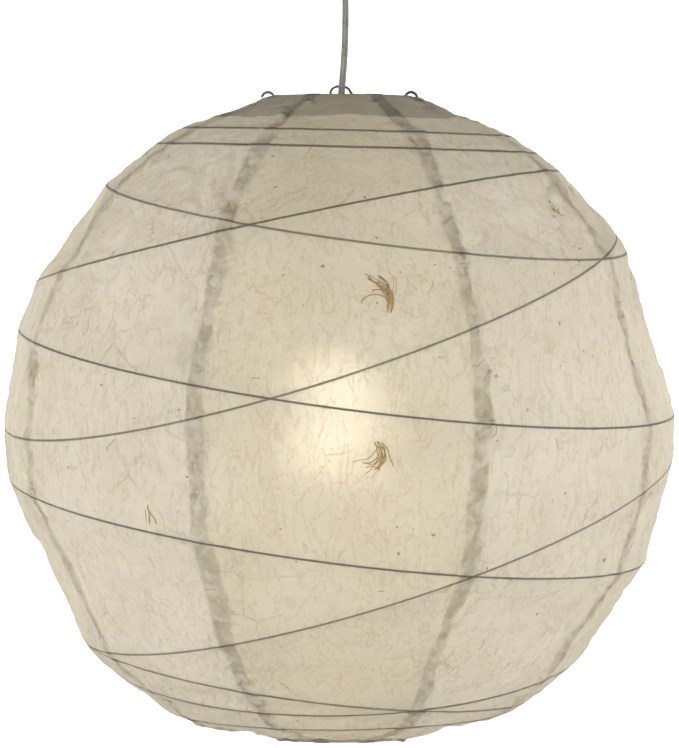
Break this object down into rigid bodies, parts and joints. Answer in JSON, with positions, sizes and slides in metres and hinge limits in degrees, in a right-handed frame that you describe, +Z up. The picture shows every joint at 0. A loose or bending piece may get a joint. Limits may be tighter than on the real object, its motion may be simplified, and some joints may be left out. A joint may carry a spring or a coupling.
{
  "type": "paper lantern",
  "caption": "Collapsible paper globe on crossing wire ribs, held open by a wire expander round a pendant lampholder and hung on its cord.",
  "frame": {"origin": "on the ceiling plane, on the globe's vertical axis", "axes": "+Z up to the ceiling, +X to the right and +Y away from the viewer in the reference view"},
  "size_m": [0.4496, 0.4496, 0.5508],
  "materials": {
    "paper": "matte rice paper",
    "wire": "satin",
    "cord": "clear PVC over stranded copper",
    "white_plastic": "satin moulded",
    "zinc": "zinc plated",
    "brass": "satin",
    "holder": "moulded thermoset",
    "ceramic": "glazed ceramic",
    "frosted_glass": "frosted",
    "nickel": "nickel plated"
  },
  "bodies": {
    "frame": {"ceiling_plate": "zinc", "terminal_block": "white_plastic", "terminal_screws": "brass", "supply_cord": "cord", "top_ring": "wire", "cord_hook": "wire", "expander": "wire", "holder_grip": "holder", "holder_cap": "holder", "holder_insert": "ceramic", "holder_skirt": "holder", "screw_shell": "brass", "centre_contact": "brass", "shade_ring": "holder", "bulb_glass": "frosted_glass", "bulb_cap": "nickel", "bulb_insulator": "holder", "bulb_contact": "nickel", "gore_1": "paper", "gore_2": "paper", "gore_3": "paper", "gore_4": "paper", "gore_5": "paper", "gore_6": "paper", "gore_7": "paper", "gore_8": "paper"},
    "cup": {"ceiling_cup": "white_plastic", "cord_bush": "white_plastic", "grip_screw": "white_plastic"},
    "bottom": {"bottom_ring": "wire"},
    "hoop_01": {"rib_01": "wire"},
    "hoop_02": {"rib_02": "wire"},
    "hoop_03": {"rib_03": "wire"},
    "hoop_04": {"rib_04": "wire"},
    "hoop_05": {"rib_05": "wire"},
    "hoop_06": {"rib_06": "wire"},
    "hoop_07": {"rib_07": "wire"},
    "hoop_08": {"rib_08": "wire"},
    "hoop_09": {"rib_09": "wire"},
    "hoop_10": {"rib_10": "wire"},
    "hoop_11": {"rib_11": "wire"}
  },
  "joints": [
    {"name": "fold", "type": "slide", "parent": "frame", "child": "bottom", "axis": [0, 0, 1], "range_m": [0, 0.3907], "deforming": ["gore_1", "gore_2", "gore_3", "gore_4", "gore_5", "gore_6", "gore_7", "gore_8"]},
    {"name": "cup_slide", "type": "slide", "parent": "frame", "child": "cup", "axis": [0, 0, -1], "range_m": [0, 0.035]},
    {"name": "rib_01_fold", "type": "hinge", "parent": "frame", "child": "hoop_01", "pos_m": [-0.45205, 0.40703, -0.32772], "axis": [-0.6691, -0.7431, 0], "range_deg": [0, 2]},
    {"name": "rib_02_fold", "type": "hinge", "parent": "frame", "child": "hoop_02", "pos_m": [-0.66514, 0.59889, -0.32271], "axis": [-0.6691, -0.7431, 0], "range_deg": [0, 2]},
    {"name": "rib_03_fold", "type": "hinge", "parent": "frame", "child": "hoop_03", "pos_m": [-0.31435, 0.28304, -0.30133], "axis": [-0.6691, -0.7431, 0], "range_deg": [0, 10]},
    {"name": "rib_04_fold", "type": "hinge", "parent": "frame", "child": "hoop_04", "pos_m": [-0.70084, 0.63104, -0.25583], "axis": [-0.6691, -0.7431, 0], "range_deg": [0, 10]},
    {"name": "rib_05_fold", "type": "hinge", "parent": "frame", "child": "hoop_05", "pos_m": [-1.08732, 0.97903, -0.21033], "axis": [-0.6691, -0.7431, 0], "range_deg": [0, 10]},
    {"name": "rib_06_fold", "type": "hinge", "parent": "frame", "child": "hoop_06", "pos_m": [-1.47381, 1.32702, -0.16483], "axis": [-0.6691, -0.7431, 0], "range_deg": [0, 10]},
    {"name": "rib_07_fold", "type": "hinge", "parent": "frame", "child": "hoop_07", "pos_m": [0.34043, 0.19655, -0.26902], "axis": [-0.5, 0.866, 0], "range_deg": [0, 20]},
    {"name": "rib_08_fold", "type": "hinge", "parent": "frame", "child": "hoop_08", "pos_m": [0.67564, 0.39008, -0.20077], "axis": [-0.5, 0.866, 0], "range_deg": [0, 20]},
    {"name": "rib_09_fold", "type": "hinge", "parent": "frame", "child": "hoop_09", "pos_m": [0.36237, -0.04449, -0.29996], "axis": [0.1219, 0.9925, 0], "range_deg": [0, 12]},
    {"name": "rib_10_fold", "type": "hinge", "parent": "frame", "child": "hoop_10", "pos_m": [0.11155, 1.27504, -0.16983], "axis": [-0.9962, 0.0872, 0], "range_deg": [0, 15]},
    {"name": "rib_11_fold", "type": "hinge", "parent": "frame", "child": "hoop_11", "pos_m": [0.37088, 4.23916, -0.15254], "axis": [-0.9962, 0.0872, 0], "range_deg": [0, 5]}
  ],
  "couplings": [
    {"joint": "rib_01_fold", "follows": "fold", "rad_per_m": 0.089343},
    {"joint": "rib_02_fold", "follows": "fold", "rad_per_m": 0.089343},
    {"joint": "rib_03_fold", "follows": "fold", "rad_per_m": 0.44672},
    {"joint": "rib_04_fold", "follows": "fold", "rad_per_m": 0.44672},
    {"joint": "rib_05_fold", "follows": "fold", "rad_per_m": 0.44672},
    {"joint": "rib_06_fold", "follows": "fold", "rad_per_m": 0.44672},
    {"joint": "rib_07_fold", "follows": "fold", "rad_per_m": 0.89344},
    {"joint": "rib_08_fold", "follows": "fold", "rad_per_m": 0.89344},
    {"joint": "rib_09_fold", "follows": "fold", "rad_per_m": 0.53606},
    {"joint": "rib_10_fold", "follows": "fold", "rad_per_m": 0.67008},
    {"joint": "rib_11_fold", "follows": "fold", "rad_per_m": 0.22336}
  ]
}
